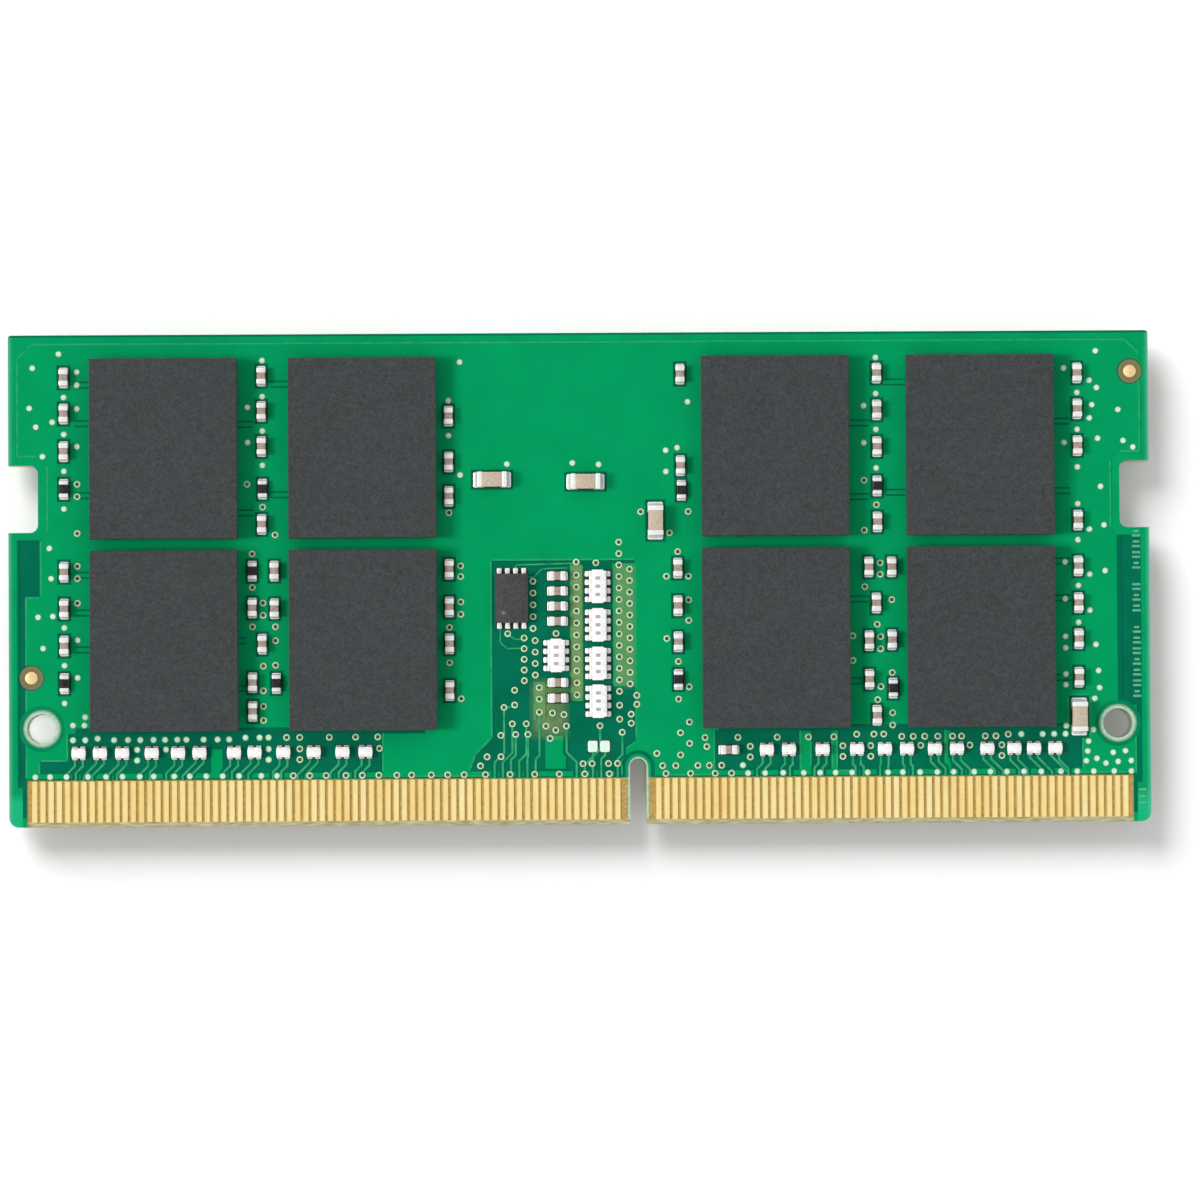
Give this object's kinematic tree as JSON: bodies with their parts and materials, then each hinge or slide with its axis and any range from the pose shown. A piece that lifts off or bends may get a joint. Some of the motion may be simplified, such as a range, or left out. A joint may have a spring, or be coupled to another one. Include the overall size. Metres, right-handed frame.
{
  "type": "memory module",
  "caption": "Small-outline laptop memory module: green circuit board with memory packages on both faces, chip capacitors and resistors, and a keyed row of gold edge contacts.",
  "frame": {"origin": "under the middle of the board, in the plane that the back packages rest on", "axes": "+X along the row of contacts to the right seen from the front, +Y up the board away from the contacts, +Z out of the front face"},
  "size_m": [0.0696, 0.03, 0.0036],
  "materials": {
    "laminate": "matte",
    "solder_mask": "satin",
    "copper": "satin",
    "gold": "polished",
    "mould_compound": "matte",
    "substrate": "matte",
    "silicon": "polished",
    "window_resin": "satin",
    "solder": "satin",
    "tin_terminal": "satin",
    "capacitor_ceramic": "matte",
    "resistor_ceramic": "matte",
    "resistor_coating": "satin",
    "lead_frame": "satin"
  },
  "bodies": {
    "root": {"array_bodies_front": "resistor_ceramic", "array_ends_front": "tin_terminal", "capacitor_bodies_back": "capacitor_ceramic", "capacitor_bodies_front": "capacitor_ceramic", "capacitor_ends_back": "tin_terminal", "capacitor_ends_front": "tin_terminal", "configuration_chip_body": "mould_compound", "configuration_chip_leads": "lead_frame", "contacts_back": "gold", "contacts_front": "gold", "core_laminate": "laminate", "ground_plane": "copper", "ground_pour_back": "copper", "ground_pour_front": "copper", "lands_back": "tin_terminal", "lands_front": "tin_terminal", "large_capacitor_bodies_front": "capacitor_ceramic", "large_capacitor_ends_front": "tin_terminal", "memory_dies_back": "silicon", "memory_dies_front": "silicon", "pack_bodies_back": "resistor_ceramic", "pack_bodies_front": "resistor_ceramic", "pack_ends_back": "tin_terminal", "pack_ends_front": "tin_terminal", "package_cap_back_1": "mould_compound", "package_cap_back_2": "mould_compound", "package_cap_back_3": "mould_compound", "package_cap_back_4": "mould_compound", "package_cap_back_5": "mould_compound", "package_cap_back_6": "mould_compound", "package_cap_back_7": "mould_compound", "package_cap_back_8": "mould_compound", "package_cap_front_1": "mould_compound", "package_cap_front_2": "mould_compound", "package_cap_front_3": "mould_compound", "package_cap_front_4": "mould_compound", "package_cap_front_5": "mould_compound", "package_cap_front_6": "mould_compound", "package_cap_front_7": "mould_compound", "package_cap_front_8": "mould_compound", "package_substrates_back": "substrate", "package_substrates_front": "substrate", "power_plane": "copper", "prepreg_back": "laminate", "prepreg_front": "laminate", "resistor_bodies_front": "resistor_ceramic", "resistor_coatings_front": "resistor_coating", "resistor_ends_front": "tin_terminal", "solder_balls_back": "solder", "solder_balls_front": "solder", "solder_fillets_back": "solder", "solder_fillets_front": "solder", "solder_mask_back": "solder_mask", "solder_mask_front": "solder_mask", "tracks_front": "copper", "vias_front": "copper", "window_seals_back": "window_resin", "window_seals_front": "window_resin"}
  },
  "joints": []
}
